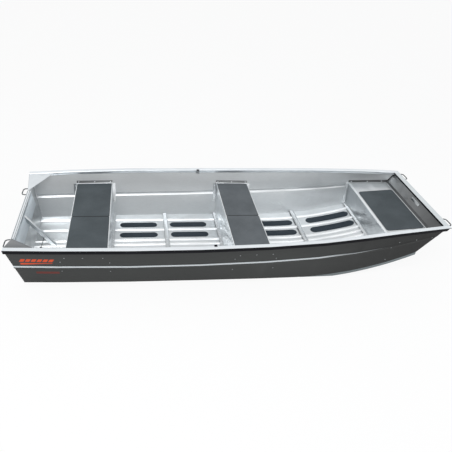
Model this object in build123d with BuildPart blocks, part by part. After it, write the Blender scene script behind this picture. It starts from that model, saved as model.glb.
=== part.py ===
from build123d import *
from math import atan, cos, degrees, pi, sin, sqrt, tan
import os

# Flat-bottomed aluminium boat with a square bow. Millimetres, +X to the bow, +Y to port, +Z up.
# The origin lies on the ground under the middle of the boat. Stations run forward from the stern.

LENGTH = 4000.0                # transom top to bow rail, without the handles
CLEARANCE = 0.3                # between neighbouring pieces

# Hull sections: share of the length, gunwale half beam, gunwale height, chine half beam,
# bead height, bead depth
HULL_TABLE = [
    (0.0, 672.0, 458.0, 515.0, 222.0, 9.0),
    (0.1, 704.0, 468.0, 535.0, 222.0, 9.0),
    (0.25, 734.0, 477.0, 555.0, 224.0, 9.0),
    (0.4, 742.0, 482.0, 563.0, 232.0, 9.0),
    (0.55, 736.0, 493.0, 567.0, 250.0, 9.0),
    (0.675, 716.0, 509.0, 566.0, 276.0, 8.0),
    (0.775, 683.0, 529.0, 561.0, 314.0, 6.0),
    (0.8625, 645.0, 546.0, 552.0, 366.0, 4.0),
    (0.9375, 613.0, 556.0, 540.0, 424.0, 2.0),
    (1.0, 581.0, 560.0, 524.0, 470.0, 1.0),
]

SIDE_SHEET = 3.0               # side panels, measured level
BOTTOM_SHEET = 3.0
PANEL_SHEET = 3.0              # transom, bow plate, benches, deck and ribs
SWEEP_SHARE = 0.62             # share of the length where the bottom starts to rise
KNUCKLE_SETBACK = 250.0        # bow rail to the knuckle between bottom and bow plate
KNUCKLE_HEIGHT = 254.2
BOW_TOP_SETBACK = 15.0         # bow rail to the bow plate's outer face under it
TRANSOM_FOOT = 92.0            # station of the transom's outer face at the ground
BEAD_ROOT = 18.0               # half height of the side bead where it leaves the panel
BEAD_CREST = 6.0               # half height of its crest

# Pressed ridges of the bottom: distance from the centre line, height
RIDGE_TABLE = [(0.0, 12.0), (78.0, 12.0), (262.0, 12.0), (445.0, 12.0)]
RIDGE_ROOT = 19.0              # half width where a ridge leaves the bottom
RIDGE_CREST = 9.0              # half width of its crest
RIDGE_HEIGHT = max(height for _, height in RIDGE_TABLE)

GUNWALE_WIDTH = 50.0
GUNWALE_WALL = 4.0
GUNWALE_CHAMFER = 3.0
GUNWALE_OUTSET = 22.0          # gunwale's outer edge beyond the side panel
OUTER_LIP = 5.0
INNER_LIP = 30.0
RUB_STRIP_HEIGHT = 32.0
RUB_STRIP_INSET = 1.0
RUB_STRIP_CHAMFER = 7.0

BOW_RAIL_WIDTH = 58.0
BOW_RAIL_LIP = 26.0

TRANSOM_MIDDLE = 386.0         # height of the lowered middle, where a motor hangs
TRANSOM_MIDDLE_HALF = 404.0
MOTOR_PAD_HEIGHT = 158.0
MOTOR_PAD_THICK = 24.0
CAP_WALL = 3.0
CAP_DEPTH = 22.0
GUSSET_LENGTH = 235.0
GUSSET_SHEET = 3.0
GUSSET_MARGIN = 0.8            # between a gusset's edges and its neighbours
KNEE_FOOT = 300.0              # station of the knee's forward end
KNEE_TOP = 352.0
KNEE_SHEET = 4.0
KNEE_FLANGE = 28.0
KNEE_WEB = 34.0                # depth of the knee's plate under its flange

BENCH_TOP = 340.0
# Benches: name, share of the length at the aft and at the fore panel
BENCH_TABLE = [("stern_bench", 0.11375, 0.20425), ("mid_bench", 0.4825, 0.569)]
FOOT_FLANGE = 28.0
END_FLANGE = 28.0              # bench and deck ends turned up against the side
TAB_WIDTH = 30.0
TAB_LENGTH = 195.0             # down from the benches' tops
DECK_TAB_LENGTH = 228.0
PAD_THICK = 4.0
PAD_MARGIN = 8.0
PAD_END_MARGIN = 16.0          # at the sides of the boat
PAD_GAP = 2.0                  # between the two halves of a bench pad
PAD_RADIUS = 14.0
DECK_SHARE = 0.8625            # share of the length at the bulkhead
DECK_TOP = 395.0               # at the bulkhead
DECK_RISE = 33.0               # from the bulkhead to the bow plate
DECK_LIP = 22.0                # the deck's front edge, turned up along the bow plate
DECK_PAD_SETBACK = 32.0        # from the bulkhead
DECK_PAD_HALF = 376.0
DECK_PAD_RADIUS = 28.0

# Floor ribs: name, share of the length
RIB_TABLE = [("floor_rib_aft", 0.34175), ("floor_rib_fore", 0.7055)]
RIB_WIDTH = 42.0
RIB_UPSTAND = 14.0

# Non-slip strips on the floor: name, shares of the length at both ends, width
STRIP_TABLE = [
    ("floor_strips_1", 0.22325, 0.31925, 84.0),
    ("floor_strips_2", 0.353, 0.4515, 88.0),
    ("floor_strips_3", 0.58625, 0.69375, 96.0),
    ("floor_strips_4", 0.7325, 0.852, 74.0),
]
STRIP_LINES = [170.0, 353.5]   # distances of the strips from the centre line
STRIP_THICK = 2.0

RUNNER_SETBACK = 120.0         # from the start of the sweep
RUNNER_HEIGHT = 30.0
RUNNER_WIDTH = 13.0
RUNNER_INSET = 1.0

ROWLOCK_SHARE = 0.4305         # share of the length
SOCKET_HALF = 15.0             # half width of a socket block
SOCKET_LENGTH = 36.0
SOCKET_MARGIN = 1.0            # between a socket's foot and the side panel
BUSH_RADIUS = 9.0
BUSH_FLANGE = 12.5
BUSH_FLANGE_THICK = 3.0
ROWLOCK_BORE = 6.5

HANDLE_ROD = 5.0               # radius
HANDLE_SIDES = 12              # flats round the rod
BEND_STEPS = 3                 # straight runs in each bend
HANDLE_SPAN = 116.0
HANDLE_REACH = 45.0            # beyond the ends of the hull
HANDLE_CORNER = 26.0
STERN_HANDLE = (436.0, 358.0)  # distance from the centre line, height
BOW_HANDLE = (462.0, 547.0)
HANDLE_ROOT = 60.0             # how far inside the transom the stern handles' legs start

BUNG_STATION = 160.0
BUNG_OFFSET = 40.0
BUNG_RADIUS = 13.0
BUNG_SIDES = 8
BUNG_HEIGHT = 22.0
BUNG_STRAP = 3.0
BUNG_STRAP_END = (195.0, 115.0)  # station and height where the strap meets the knee

BRACKET_HALF = 80.0
BRACKET_HEIGHT = 24.0
BRACKET_DROP = 44.0            # below the sheer at the bow

# Working room beyond the hull for solids that are trimmed to it
BELOW = 12.0
SPARE_TURN = 2.0               # degrees of sweep
SPARE_SHARE = 1.25

# Values worked out from the driving dimensions
STERN_X = -LENGTH / 2
HULL_ROWS = [(share * LENGTH, *sizes) for share, *sizes in HULL_TABLE]
SHEER_STERN = HULL_ROWS[0][2]
SHEER_BOW = HULL_ROWS[-1][2]
REACH = SPARE_SHARE * max(row[1] for row in HULL_ROWS)
ABOVE = SPARE_SHARE * SHEER_BOW
KNUCKLE_STATION = LENGTH - KNUCKLE_SETBACK
BOW_TOP_STATION = LENGTH - BOW_TOP_SETBACK
SWEEP_START = SWEEP_SHARE * LENGTH
SWEEP_RUN = KNUCKLE_STATION - SWEEP_START
SWEEP_RADIUS = (SWEEP_RUN ** 2 + KNUCKLE_HEIGHT ** 2) / (2 * KNUCKLE_HEIGHT)
DECK_AFT = DECK_SHARE * LENGTH
RUNNER_START = SWEEP_START + RUNNER_SETBACK
ROWLOCK_STATION = ROWLOCK_SHARE * LENGTH
FLOOR_TOP = BOTTOM_SHEET + RIDGE_HEIGHT + CLEARANCE
SIDES = [("port", 1), ("starboard", -1)]


def at(station):
    """X of a station."""
    return STERN_X + station


def hull(station):
    """The row of the hull table at any station, between its sections by straight lines."""
    for low, high in zip(HULL_ROWS, HULL_ROWS[1:]):
        if station <= high[0]:
            break
    share = (station - low[0]) / (high[0] - low[0])
    return [a + (b - a) * share for a, b in zip(low, high)]


def bottom_height(station):
    """Height of the bottom's outer face on the flat run and on the sweep."""
    rise = max(station - SWEEP_START, 0.0)
    return SWEEP_RADIUS - sqrt(SWEEP_RADIUS ** 2 - rise ** 2)


def side_face(station, height, inward=0.0):
    """Half width at a height, of the side's outer face or of a level offset inside it."""
    _, beam, sheer, chine, _, _ = hull(station)
    low = bottom_height(station)
    top = beam - GUNWALE_OUTSET
    return chine + (top - chine) * (height - low) / (sheer - low) - inward


def transom_station(height):
    """Station of the transom's raked outer face."""
    return TRANSOM_FOOT * (1 - height / SHEER_STERN)


def bow_station(height):
    """Station of the bow plate's raked outer face."""
    run = BOW_TOP_STATION - KNUCKLE_STATION
    return KNUCKLE_STATION + run * (height - KNUCKLE_HEIGHT) / (SHEER_BOW - KNUCKLE_HEIGHT)


def section_loft(outline):
    """A ruled solid through one outline at each section of the hull table."""
    with BuildPart() as solid:
        for row in HULL_ROWS:
            with BuildSketch(Plane.YZ.offset(at(row[0]))):
                with BuildLine():
                    Polyline(outline(row[0]), close=True)
                make_face()
        loft(ruled=True)
    return solid.part


def slab(points, half_width=REACH):
    """An upright outline of stations and heights, made solid across the boat."""
    with BuildPart() as solid:
        with BuildSketch(Plane.XZ):
            with BuildLine():
                Polyline([(at(station), height) for station, height in points], close=True)
            make_face()
        extrude(amount=half_width, both=True)
    return solid.part


def plan(points, low, high):
    """A level outline of stations and half widths, made solid between two heights."""
    with BuildPart() as solid:
        with BuildSketch(Plane.XY.offset(low)):
            with BuildLine():
                Polyline([(at(station), width) for station, width in points], close=True)
            make_face()
        extrude(amount=high - low)
    return solid.part


def block(first, last, inner, outer, low, high):
    """A box between two stations, two distances from the centre line and two heights."""
    return plan([(first, inner), (last, inner), (last, outer), (first, outer)], low, high)


def inside_outline(inward):
    """Cross-section of the room between the sides, as a function of the station."""
    def outline(station):
        low = bottom_height(station) - BELOW
        high = hull(station)[2] - GUNWALE_WALL - CLEARANCE
        wide_low = side_face(station, low, inward)
        wide_high = side_face(station, high, inward)
        return [(-wide_low, low), (wide_low, low), (wide_high, high), (-wide_high, high)]
    return outline


def keep(solid, label):
    """Labels a finished piece and writes it."""
    solid.label = label
    export_step(solid, os.path.join("parts", label + ".step"))


os.makedirs("parts", exist_ok=True)

# Rake of the transom, the flat run, the sweep and the rake of the bow plate, in one side view
SWEEP_TURN = degrees(atan(SWEEP_RUN / (SWEEP_RADIUS - KNUCKLE_HEIGHT)))
with BuildPart() as side_view:
    with BuildSketch(Plane.XZ):
        with BuildLine():
            Line((at(TRANSOM_FOOT), 0), (at(SWEEP_START), 0))
            sweep_arc = JernArc((at(SWEEP_START), 0), (1, 0), SWEEP_RADIUS, SWEEP_TURN)
            Polyline(sweep_arc @ 1, (at(bow_station(ABOVE)), ABOVE),
                     (at(transom_station(ABOVE)), ABOVE), (at(TRANSOM_FOOT), 0))
        make_face()
    extrude(amount=REACH, both=True)
envelope = side_view.part

room = section_loft(inside_outline(SIDE_SHEET + CLEARANCE))
room_less_sheet = section_loft(inside_outline(SIDE_SHEET + CLEARANCE + PANEL_SHEET))
lining = room - room_less_sheet


def side_outline(sign):
    """Cross-section of a side panel with its pressed bead."""
    def outline(station):
        _, _, sheer, _, bead, depth = hull(station)
        low = bottom_height(station) - BELOW
        high = sheer - GUNWALE_WALL - CLEARANCE
        levels = [(low, 0.0), (bead - BEAD_ROOT, 0.0), (bead - BEAD_CREST, depth),
                  (bead + BEAD_CREST, depth), (bead + BEAD_ROOT, 0.0), (high, 0.0)]
        outer = [(side_face(station, level) + out, level) for level, out in levels]
        inner = [(wide - SIDE_SHEET, level) for wide, level in reversed(outer)]
        return [(sign * wide, level) for wide, level in outer + inner]
    return outline


def gunwale_outline(sign):
    """Cross-section of the gunwale: a cap with a short outer lip and a deeper inner lip."""
    def outline(station):
        _, beam, sheer, _, _, _ = hull(station)
        inner = beam - GUNWALE_WIDTH
        points = [
            (beam, sheer - GUNWALE_CHAMFER), (beam, sheer - OUTER_LIP),
            (beam - GUNWALE_WALL, sheer - OUTER_LIP), (beam - GUNWALE_WALL, sheer - GUNWALE_WALL),
            (inner + GUNWALE_WALL, sheer - GUNWALE_WALL), (inner + GUNWALE_WALL, sheer - INNER_LIP),
            (inner, sheer - INNER_LIP), (inner, sheer - GUNWALE_CHAMFER),
            (inner + GUNWALE_CHAMFER, sheer), (beam - GUNWALE_CHAMFER, sheer),
        ]
        return [(sign * wide, level) for wide, level in points]
    return outline


def rub_strip_outline(sign):
    """Cross-section of the rubbing strip, between the outer lip and the side panel."""
    def outline(station):
        _, beam, sheer, _, _, _ = hull(station)
        high = sheer - OUTER_LIP - CLEARANCE
        low = high - RUB_STRIP_HEIGHT
        outer = beam - RUB_STRIP_INSET
        points = [
            (outer, high), (outer, low + RUB_STRIP_CHAMFER), (outer - RUB_STRIP_CHAMFER, low),
            (side_face(station, low) + CLEARANCE, low),
            (side_face(station, high) + CLEARANCE, high),
        ]
        return [(sign * wide, level) for wide, level in points]
    return outline


def raked(height, inward):
    """Station and height of a point inside the transom's outer face."""
    return (transom_station(height) + inward, height)


def bow_raked(height, inward):
    """Station and height of a point behind the bow plate's outer face."""
    return (bow_station(height) - inward, height)


# Room for the transom and for the bow plate, up to the underside of the gunwales
slot_wall = PANEL_SHEET + CLEARANCE
stern_under = SHEER_STERN - GUNWALE_WALL
bow_under = SHEER_BOW - GUNWALE_WALL
transom_slot = slab([raked(-BELOW, -BELOW), raked(-BELOW, slot_wall),
                     raked(stern_under, slot_wall), raked(stern_under, -BELOW)])
bow_slot = slab([bow_raked(0, -CLEARANCE), bow_raked(0, slot_wall),
                 bow_raked(bow_under, slot_wall), bow_raked(bow_under, -CLEARANCE)])

# Side panels, gunwales and rubbing strips
rowlock_top = hull(ROWLOCK_STATION)[2]
rowlock_foot = rowlock_top - SOCKET_LENGTH
rowlock_y = side_face(ROWLOCK_STATION, rowlock_foot, SIDE_SHEET + SOCKET_MARGIN) - SOCKET_HALF
socket_room = SOCKET_HALF + CLEARANCE
for side, sign in SIDES:
    keep(section_loft(side_outline(sign)) & envelope, "side_panel_" + side)
    cut_out = block(ROWLOCK_STATION - socket_room, ROWLOCK_STATION + socket_room,
                    sign * (rowlock_y - socket_room), sign * (rowlock_y + socket_room), 0, ABOVE)
    gunwale = section_loft(gunwale_outline(sign)) - cut_out - transom_slot - bow_slot
    keep(gunwale, "gunwale_" + side)
    keep(section_loft(rub_strip_outline(sign)) & envelope, "rub_strip_" + side)

# Bottom: one pressed sheet, straight aft and swept up forward
ridges = sorted({(sign * offset, height) for offset, height in RIDGE_TABLE for sign in (-1, 1)})
under = [(-REACH, 0.0)]
for middle, height in ridges:
    under += [(middle - RIDGE_ROOT, 0.0), (middle - RIDGE_CREST, height),
              (middle + RIDGE_CREST, height), (middle + RIDGE_ROOT, 0.0)]
under += [(REACH, 0.0)]
over = [(wide, height + BOTTOM_SHEET) for wide, height in reversed(under)]
with BuildPart() as pressed:
    with BuildSketch(Plane.YZ.offset(at(SWEEP_START))) as bottom_section:
        with BuildLine():
            Polyline(under + over, close=True)
        make_face()
    extrude(amount=-SWEEP_START)
    revolve(bottom_section.sketch, axis=Axis((at(SWEEP_START), 0, SWEEP_RADIUS), (0, -1, 0)),
            revolution_arc=SWEEP_TURN + SPARE_TURN)
keep((pressed.part & envelope & room) - transom_slot - bow_slot, "hull_bottom")

# Chine runners: upright strips under the swept part of each chine
with BuildPart() as runner_view:
    with BuildSketch(Plane.XZ):
        with Locations((at(SWEEP_START), SWEEP_RADIUS)):
            Circle(SWEEP_RADIUS + RUNNER_HEIGHT)
            Circle(SWEEP_RADIUS + CLEARANCE, mode=Mode.SUBTRACT)
        with BuildLine():
            Polyline((at(RUNNER_START), 0), (at(KNUCKLE_STATION), 0),
                     (at(KNUCKLE_STATION), KNUCKLE_HEIGHT), (at(RUNNER_START), KNUCKLE_HEIGHT),
                     close=True)
        make_face(mode=Mode.INTERSECT)
    extrude(amount=REACH, both=True)


def runner_outline(sign):
    """Upright band under the chine, wide enough for the runner."""
    def outline(station):
        outer = hull(station)[3] - RUNNER_INSET
        inner = outer - RUNNER_WIDTH
        points = [(outer, -BELOW), (outer, SHEER_BOW), (inner, SHEER_BOW), (inner, -BELOW)]
        return [(sign * wide, level) for wide, level in points]
    return outline


for side, sign in SIDES:
    keep(section_loft(runner_outline(sign)) & runner_view.part, "chine_runner_" + side)


# Transom: raked plate with a lowered middle, the pad that a motor clamps on and its cap
shoulder = hull(0.0)[1] - GUNWALE_WIDTH - CLEARANCE
high = SHEER_STERN - GUNWALE_WALL - CLEARANCE
with BuildPart() as transom:
    add(slab([raked(-BELOW, 0), raked(-BELOW, PANEL_SHEET),
              raked(ABOVE, PANEL_SHEET), raked(ABOVE, 0)]))
    add(room, mode=Mode.INTERSECT)
    add(envelope, mode=Mode.INTERSECT)
    with BuildSketch(Plane.YZ.offset(at(0) - REACH)):
        with BuildLine():
            Polyline((-shoulder, ABOVE), (-shoulder, high), (-TRANSOM_MIDDLE_HALF, TRANSOM_MIDDLE),
                     (TRANSOM_MIDDLE_HALF, TRANSOM_MIDDLE), (shoulder, high), (shoulder, ABOVE),
                     close=True)
        make_face()
    extrude(amount=2 * REACH, mode=Mode.SUBTRACT)
keep(transom.part, "transom")

pad_face = slot_wall
pad_back = pad_face + MOTOR_PAD_THICK
pad_low = TRANSOM_MIDDLE - MOTOR_PAD_HEIGHT
motor_pad = slab([raked(pad_low, pad_face), raked(pad_low, pad_back),
                  raked(TRANSOM_MIDDLE, pad_back), raked(TRANSOM_MIDDLE, pad_face)],
                 TRANSOM_MIDDLE_HALF)
keep(motor_pad, "motor_pad")

cap_low = TRANSOM_MIDDLE - CAP_DEPTH
cap_in = TRANSOM_MIDDLE + CLEARANCE
cap_out = cap_in + CAP_WALL
cap_fore = pad_back + CLEARANCE
transom_cap = slab([
    raked(cap_low, -CLEARANCE), raked(cap_in, -CLEARANCE), raked(cap_in, cap_fore),
    raked(cap_low, cap_fore), raked(cap_low, cap_fore + CAP_WALL),
    raked(cap_out, cap_fore + CAP_WALL), raked(cap_out, -CLEARANCE - CAP_WALL),
    raked(cap_low, -CLEARANCE - CAP_WALL)], TRANSOM_MIDDLE_HALF)
keep(transom_cap, "transom_cap")

# Corner gussets: sloping triangles from the gunwale down to the end of the transom's cap
for side, sign in SIDES:
    corner_z = high - GUSSET_SHEET
    fore_z = hull(GUSSET_LENGTH)[2] - GUNWALE_WALL - GUSSET_SHEET
    fore_y = hull(GUSSET_LENGTH)[1] - GUNWALE_WIDTH - GUSSET_MARGIN
    corner = Vector(at(transom_station(corner_z) + pad_face),
                    sign * (shoulder - GUSSET_MARGIN), corner_z)
    fore = Vector(at(GUSSET_LENGTH), sign * fore_y, fore_z)
    foot = Vector(at(transom_station(TRANSOM_MIDDLE) + pad_face),
                  sign * (TRANSOM_MIDDLE_HALF + GUSSET_MARGIN), TRANSOM_MIDDLE)
    along = fore - corner
    normal = along.cross(foot - corner) * -sign
    plane = Plane(origin=corner, x_dir=along, z_dir=normal)
    with BuildPart() as gusset:
        with BuildSketch(plane):
            with BuildLine():
                Polyline([plane.to_local_coords(point) for point in (corner, fore, foot)], close=True)
            make_face()
        extrude(amount=GUSSET_SHEET)
        add(room, mode=Mode.INTERSECT)
    keep(gusset.part, "transom_gusset_" + side)

# Knee: sloping strut from the motor pad to the floor, with a flange folded over its upper edge
knee_back = pad_back + CLEARANCE
knee_head = raked(KNEE_TOP, knee_back)
slope = atan((KNEE_TOP - FLOOR_TOP) / (KNEE_FOOT - knee_head[0]))
lift = (KNEE_SHEET * sin(slope), KNEE_SHEET * cos(slope))
run_down = 1 / tan(slope)
web_foot = KNEE_FOOT - KNEE_WEB / sin(slope)
web_rise = web_foot + FLOOR_TOP * run_down - TRANSOM_FOOT - knee_back
web_head = raked(web_rise / (run_down - TRANSOM_FOOT / SHEER_STERN), knee_back)
knee_plate = slab([knee_head, web_head, (web_foot, FLOOR_TOP), (KNEE_FOOT, FLOOR_TOP)],
                  KNEE_SHEET / 2)
knee_flange = slab([knee_head, (KNEE_FOOT, FLOOR_TOP),
                    (KNEE_FOOT + lift[0], FLOOR_TOP + lift[1]),
                    (knee_head[0], knee_head[1] + KNEE_SHEET / cos(slope))], KNEE_FLANGE / 2)
keep(knee_plate + knee_flange, "transom_knee")

# Drain bung with its strap, standing beside the knee
bung_low = BOTTOM_SHEET + CLEARANCE
bung_top = Vector(at(BUNG_STATION), -BUNG_OFFSET, bung_low + BUNG_HEIGHT - BUNG_STRAP)
strap_end = Vector(at(BUNG_STRAP_END[0]), -KNEE_SHEET / 2 - CLEARANCE - BUNG_STRAP,
                   BUNG_STRAP_END[1])
with BuildPart() as bung:
    with BuildSketch(Plane.XY.offset(bung_low)):
        with Locations((at(BUNG_STATION), -BUNG_OFFSET)):
            RegularPolygon(BUNG_RADIUS, BUNG_SIDES)
    extrude(amount=BUNG_HEIGHT)
    with BuildSketch(Plane(origin=bung_top, z_dir=strap_end - bung_top)):
        Rectangle(BUNG_STRAP, BUNG_STRAP)
    extrude(amount=(strap_end - bung_top).length)
keep(bung.part, "drain_bung")


# Benches: folded sheet over two upright panels, with feet on the floor and ends on the sides
def wall_strip(first, last, low, high):
    """The part of the lining along both sides between two stations and two heights."""
    return lining & block(first, last, -REACH, REACH, low, high)


def pad_outline(first, last, low, level):
    """Half of a bench pad: from the seam to just short of the bench's end."""
    inward = SIDE_SHEET + PANEL_SHEET + PAD_END_MARGIN
    ends = [side_face(station, level, inward) for station in (last, first)]
    return [(first, low), (last, low), (last, ends[0]), (first, ends[1])]


for name, aft_share, fore_share in BENCH_TABLE:
    aft = aft_share * LENGTH
    fore = fore_share * LENGTH
    wall = PANEL_SHEET
    under_top = BENCH_TOP - wall
    folded = slab([
        (aft - FOOT_FLANGE, FLOOR_TOP), (aft + wall, FLOOR_TOP), (aft + wall, under_top),
        (fore - wall, under_top), (fore - wall, FLOOR_TOP), (fore + FOOT_FLANGE, FLOOR_TOP),
        (fore + FOOT_FLANGE, FLOOR_TOP + wall), (fore, FLOOR_TOP + wall), (fore, BENCH_TOP),
        (aft, BENCH_TOP), (aft, FLOOR_TOP + wall), (aft - FOOT_FLANGE, FLOOR_TOP + wall)])
    bench = (folded & room) + wall_strip(aft, fore, under_top, BENCH_TOP + END_FLANGE)
    tab_low = BENCH_TOP - TAB_LENGTH
    bench = bench + wall_strip(aft - TAB_WIDTH, aft + wall, tab_low, BENCH_TOP)
    bench = bench + wall_strip(fore - wall, fore + TAB_WIDTH, tab_low, BENCH_TOP)
    keep(bench, name)
    outline = pad_outline(aft + PAD_MARGIN, fore - PAD_MARGIN, PAD_GAP / 2, BENCH_TOP)
    for side, sign in SIDES:
        with BuildPart() as pad:
            with BuildSketch(Plane.XY.offset(BENCH_TOP)):
                with BuildLine():
                    Polyline([(at(station), sign * wide) for station, wide in outline], close=True)
                make_face()
                fillet(vertices(), PAD_RADIUS)
            extrude(amount=PAD_THICK)
        keep(pad.part, name + "_pad_" + side)


# Bow deck: bulkhead, sloping top and a lip turned up along the bow plate
def along_floor(station, lift_up, step=0.0):
    """Point above the bottom at a station, square to it, with a step along it."""
    turn = atan((station - SWEEP_START) / sqrt(SWEEP_RADIUS ** 2 - (station - SWEEP_START) ** 2))
    turn = max(turn, 0.0)
    return (station - lift_up * sin(turn) + step * cos(turn),
            bottom_height(station) + lift_up * cos(turn) + step * sin(turn))


foot_top = along_floor(DECK_AFT, FLOOR_TOP + PANEL_SHEET)
foot_aft_top = along_floor(DECK_AFT, FLOOR_TOP + PANEL_SHEET, -FOOT_FLANGE)
foot_aft_low = along_floor(DECK_AFT, FLOOR_TOP, -FOOT_FLANGE)
deck_high = DECK_TOP + DECK_RISE
deck_aft = foot_top[0]
bulkhead = deck_aft + PANEL_SHEET
deck_fore, _ = bow_raked(deck_high, slot_wall + PANEL_SHEET)
deck_slope = DECK_RISE / (deck_fore - deck_aft)


def deck_level(station, lift_up=0.0):
    """Station and height of a point over the sloping deck."""
    return (station, DECK_TOP + deck_slope * (station - deck_aft) + lift_up)


lip_foot = bow_raked(deck_high - PANEL_SHEET, slot_wall)
deck = slab([foot_aft_low, along_floor(DECK_AFT, FLOOR_TOP, PANEL_SHEET / 2),
             (bulkhead, foot_top[1]), deck_level(bulkhead, -PANEL_SHEET), lip_foot,
             bow_raked(deck_high + DECK_LIP, slot_wall),
             bow_raked(deck_high + DECK_LIP, slot_wall + PANEL_SHEET), deck_level(deck_fore),
             deck_level(deck_aft), foot_top, foot_aft_top]) & room
deck_ends = slab([deck_level(deck_aft, -PANEL_SHEET), lip_foot,
                  bow_raked(deck_high + END_FLANGE, slot_wall),
                  deck_level(deck_aft, END_FLANGE)])
deck = deck + (lining & deck_ends)
deck = deck + wall_strip(deck_aft - TAB_WIDTH, bulkhead, DECK_TOP - DECK_TAB_LENGTH, DECK_TOP)
keep(deck, "bow_deck")

pad_aft = deck_aft + DECK_PAD_SETBACK
pad_fore = deck_fore - PAD_MARGIN
pad_middle = deck_level((pad_aft + pad_fore) / 2)
with BuildPart() as deck_pad:
    with BuildSketch(Plane(origin=(at(pad_middle[0]), 0, pad_middle[1]),
                           x_dir=(1, 0, deck_slope), z_dir=(-deck_slope, 0, 1))):
        RectangleRounded(pad_fore - pad_aft, 2 * DECK_PAD_HALF, DECK_PAD_RADIUS)
    extrude(amount=PAD_THICK)
keep(deck_pad.part, "bow_deck_pad")

# Bow plate, the rail over it and the small bracket plate behind it
plate_high = bow_under - CLEARANCE
bow_plate = slab([bow_raked(KNUCKLE_HEIGHT, PANEL_SHEET), bow_raked(KNUCKLE_HEIGHT, 0),
                  bow_raked(plate_high, 0), bow_raked(plate_high, PANEL_SHEET)])
keep(bow_plate & room, "bow_plate")

rail_aft = LENGTH - BOW_RAIL_WIDTH
rail_inset = GUNWALE_WIDTH + CLEARANCE
rail_ends = [(station, hull(station)[1] - rail_inset) for station in (rail_aft, LENGTH)]
with BuildPart() as bow_rail:
    with BuildSketch(Plane.XZ):
        with BuildLine():
            Polyline([(at(station), level) for station, level in [
                (rail_aft + GUNWALE_CHAMFER, SHEER_BOW), (rail_aft, SHEER_BOW - GUNWALE_CHAMFER),
                (rail_aft, bow_under), (LENGTH - GUNWALE_WALL, bow_under),
                (LENGTH - GUNWALE_WALL, SHEER_BOW - BOW_RAIL_LIP), (LENGTH, SHEER_BOW - BOW_RAIL_LIP),
                (LENGTH, SHEER_BOW - GUNWALE_CHAMFER), (LENGTH - GUNWALE_CHAMFER, SHEER_BOW)]],
                close=True)
        make_face()
    extrude(amount=REACH, both=True)
    with BuildSketch(Plane.XY):
        with BuildLine():
            Polyline([(at(station), wide) for station, wide in rail_ends]
                     + [(at(station), -wide) for station, wide in reversed(rail_ends)], close=True)
        make_face()
    extrude(amount=ABOVE, mode=Mode.INTERSECT)
keep(bow_rail.part, "bow_rail")

bracket_high = SHEER_BOW - BRACKET_DROP
bracket_low = bracket_high - BRACKET_HEIGHT
bracket_face = slot_wall
bracket_back = bracket_face + PANEL_SHEET
bow_bracket = slab([bow_raked(bracket_low, bracket_back), bow_raked(bracket_low, bracket_face),
                    bow_raked(bracket_high, bracket_face), bow_raked(bracket_high, bracket_back)],
                   BRACKET_HALF)
keep(bow_bracket, "bow_bracket")

# Floor ribs: angles laid across the ridges
rib_levels = [FLOOR_TOP, FLOOR_TOP + PANEL_SHEET, FLOOR_TOP + RIB_UPSTAND]
rib_steps = [-RIB_WIDTH / 2, RIB_WIDTH / 2 - PANEL_SHEET, RIB_WIDTH / 2]
RIB_CORNERS = [(0, 0), (0, 2), (2, 2), (2, 1), (1, 1), (1, 0)]
for name, share in RIB_TABLE:
    rib = slab([along_floor(share * LENGTH, rib_levels[level], rib_steps[step])
                for level, step in RIB_CORNERS])
    keep(rib & room, name)

# Non-slip strips between the ridges, following the sweep of the bottom
strip_low = BOTTOM_SHEET
strip_high = BOTTOM_SHEET + STRIP_THICK
sweep_x = at(SWEEP_START)
with BuildPart() as strip_sheet:
    with BuildSketch(Plane.XZ):
        with BuildLine():
            Polyline((at(0), strip_high), (at(0), strip_low), (sweep_x, strip_low))
            lower = JernArc((sweep_x, strip_low), (1, 0), SWEEP_RADIUS - strip_low, SWEEP_TURN)
            upper = JernArc((sweep_x, strip_high), (1, 0), SWEEP_RADIUS - strip_high, SWEEP_TURN)
            Line(lower @ 1, upper @ 1)
            Line((sweep_x, strip_high), (at(0), strip_high))
        make_face()
    extrude(amount=REACH, both=True)
for name, first, last, width in STRIP_TABLE:
    middle = at((first + last) / 2 * LENGTH)
    with BuildPart() as strips:
        with BuildSketch(Plane.XY.offset(-BELOW)):
            with Locations(*[(middle, sign * line) for line in STRIP_LINES for sign in (-1, 1)]):
                SlotOverall((last - first) * LENGTH, width)
        extrude(amount=SHEER_BOW)
        add(strip_sheet.part, mode=Mode.INTERSECT)
    keep(strips.part, name)

# Rowlock sockets under the gunwales, with their bushes
for side, sign in SIDES:
    spot = (at(ROWLOCK_STATION), sign * rowlock_y)
    with BuildPart() as socket:
        with BuildSketch(Plane.XY.offset(rowlock_foot)):
            with Locations(spot):
                Rectangle(2 * SOCKET_HALF, 2 * SOCKET_HALF)
                Circle(BUSH_RADIUS + CLEARANCE, mode=Mode.SUBTRACT)
        extrude(amount=SOCKET_LENGTH)
    keep(socket.part, "rowlock_socket_" + side)
    with BuildPart() as bush:
        with BuildSketch(Plane.XY.offset(rowlock_foot)):
            with Locations(spot):
                Circle(BUSH_RADIUS)
        extrude(amount=SOCKET_LENGTH)
        with BuildSketch(Plane.XY.offset(rowlock_top)):
            with Locations(spot):
                Circle(BUSH_FLANGE)
        extrude(amount=BUSH_FLANGE_THICK)
        with BuildSketch(Plane.XY.offset(rowlock_foot)):
            with Locations(spot):
                Circle(ROWLOCK_BORE)
        extrude(amount=SOCKET_LENGTH + BUSH_FLANGE_THICK, mode=Mode.SUBTRACT)
    keep(bush.part, "rowlock_bush_" + side)


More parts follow.
